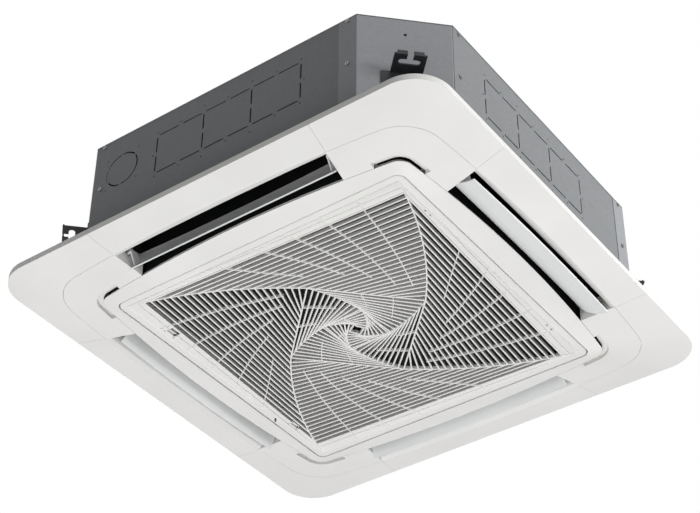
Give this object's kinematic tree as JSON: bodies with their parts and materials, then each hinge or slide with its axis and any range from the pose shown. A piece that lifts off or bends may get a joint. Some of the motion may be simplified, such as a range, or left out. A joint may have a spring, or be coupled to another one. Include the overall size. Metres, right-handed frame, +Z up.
{
  "type": "ceiling cassette air conditioner",
  "caption": "Square ceiling cassette air conditioner with a chamfered sheet-steel cabinet, a pull-down whirl intake grille and a swinging louvre on each side of the panel.",
  "frame": {"origin": "centre of the unit on the ceiling plane, which is the top of the panel's plain rim; the cabinet is above it and the panel below", "axes": "+Z up; -Y is the front side with the round and the three square knock-outs; +X is the side with three square knock-outs and the grille's hinge; -X is the side with the pipes, the drain and the grille's latches"},
  "size_m": [0.95, 0.95, 0.3025],
  "materials": {
    "sheet_steel": "bare galvanised sheet, satin",
    "bracket_steel": "galvanised, satin",
    "fastener_steel": "zinc plated",
    "foam": "moulded foam, matt",
    "rubber": "matt",
    "fin_aluminium": "bare fins",
    "copper": "bare copper and brass",
    "fan_plastic": "moulded, matt",
    "motor_steel": "painted, satin",
    "grey_plastic": "moulded, matt",
    "board": "resin board",
    "panel_white": "moulded, fine matt grain",
    "louvre_white": "moulded, satin",
    "filter_black": "moulded frame and mesh, matt"
  },
  "bodies": {
    "unit": {"bell_mouth": "fan_plastic", "cabinet_screws": "fastener_steel", "cable_grommet": "rubber", "coil_fins": "fin_aluminium", "coil_return_bends": "copper", "coil_tube_sheets": "sheet_steel", "control_board": "board", "corner_cover_left_front": "panel_white", "corner_cover_left_rear": "panel_white", "corner_cover_right_front": "panel_white", "corner_cover_right_rear": "panel_white", "corner_plate_left_front": "sheet_steel", "corner_plate_left_rear": "sheet_steel", "corner_plate_right_front": "sheet_steel", "corner_plate_right_rear": "sheet_steel", "drain_hose": "rubber", "drain_pan": "foam", "drain_plug": "rubber", "drain_pump": "grey_plastic", "drain_spout": "grey_plastic", "electrical_box": "grey_plastic", "electrical_cover": "grey_plastic", "fan_motor": "motor_steel", "float_switch": "grey_plastic", "gas_pipe": "copper", "hanger_bracket_left_front": "bracket_steel", "hanger_bracket_left_rear": "bracket_steel", "hanger_bracket_right_front": "bracket_steel", "hanger_bracket_right_rear": "bracket_steel", "inner_surround": "panel_white", "insulation_liner": "foam", "liquid_pipe": "copper", "louvre_bushes": "grey_plastic", "louvre_motors": "grey_plastic", "motor_fixings": "fastener_steel", "motor_mounts": "rubber", "panel_bolts": "fastener_steel", "panel_frame": "panel_white", "panel_seal": "foam", "pipe_plate": "sheet_steel", "pipe_unions": "copper", "pump_bracket": "sheet_steel", "side_panel_front": "sheet_steel", "side_panel_left": "sheet_steel", "side_panel_rear": "sheet_steel", "side_panel_right": "sheet_steel", "terminal_block": "grey_plastic", "top_plate": "sheet_steel"},
    "fan": {"turbo_fan": "fan_plastic", "fan_nut": "fastener_steel", "motor_shaft": "fastener_steel"},
    "grille": {"intake_grille": "panel_white", "air_filter": "filter_black"},
    "latch_front": {"grille_latch_front": "panel_white"},
    "latch_rear": {"grille_latch_rear": "panel_white"},
    "float": {"float_ring": "grey_plastic"},
    "louvre_front": {"louvre_front": "louvre_white"},
    "louvre_right": {"louvre_right": "louvre_white"},
    "louvre_rear": {"louvre_rear": "louvre_white"},
    "louvre_left": {"louvre_left": "louvre_white"}
  },
  "joints": [
    {"name": "fan_spin", "type": "hinge", "parent": "unit", "child": "fan", "pos_m": [0, 0, 0.15], "axis": [0, 0, 1], "continuous": true},
    {"name": "louvre_front_swing", "type": "hinge", "parent": "unit", "child": "louvre_front", "pos_m": [0, -0.385, -0.003], "axis": [1, 0, 0], "range_deg": [-58, 4]},
    {"name": "louvre_right_swing", "type": "hinge", "parent": "unit", "child": "louvre_right", "pos_m": [0.385, 0, -0.003], "axis": [0, 1, 0], "range_deg": [-18, 44]},
    {"name": "louvre_rear_swing", "type": "hinge", "parent": "unit", "child": "louvre_rear", "pos_m": [0, 0.385, -0.003], "axis": [-1, 0, 0], "range_deg": [-60, 2]},
    {"name": "louvre_left_swing", "type": "hinge", "parent": "unit", "child": "louvre_left", "pos_m": [-0.385, 0, -0.003], "axis": [0, -1, 0], "range_deg": [-58, 4]},
    {"name": "grille_hinge", "type": "hinge", "parent": "unit", "child": "grille", "pos_m": [0.296, 0, -0.0285], "axis": [0, -1, 0], "range_deg": [0, 90]},
    {"name": "latch_front_slide", "type": "slide", "parent": "grille", "child": "latch_front", "axis": [1, 0, 0], "range_m": [0, 0.005], "stiffness_N_per_m": 300, "springref_m": -0.003},
    {"name": "latch_rear_slide", "type": "slide", "parent": "grille", "child": "latch_rear", "axis": [1, 0, 0], "range_m": [0, 0.005], "stiffness_N_per_m": 300, "springref_m": -0.003},
    {"name": "float_rise", "type": "slide", "parent": "unit", "child": "float", "axis": [0, 0, 1], "range_m": [0, 0.008]}
  ]
}
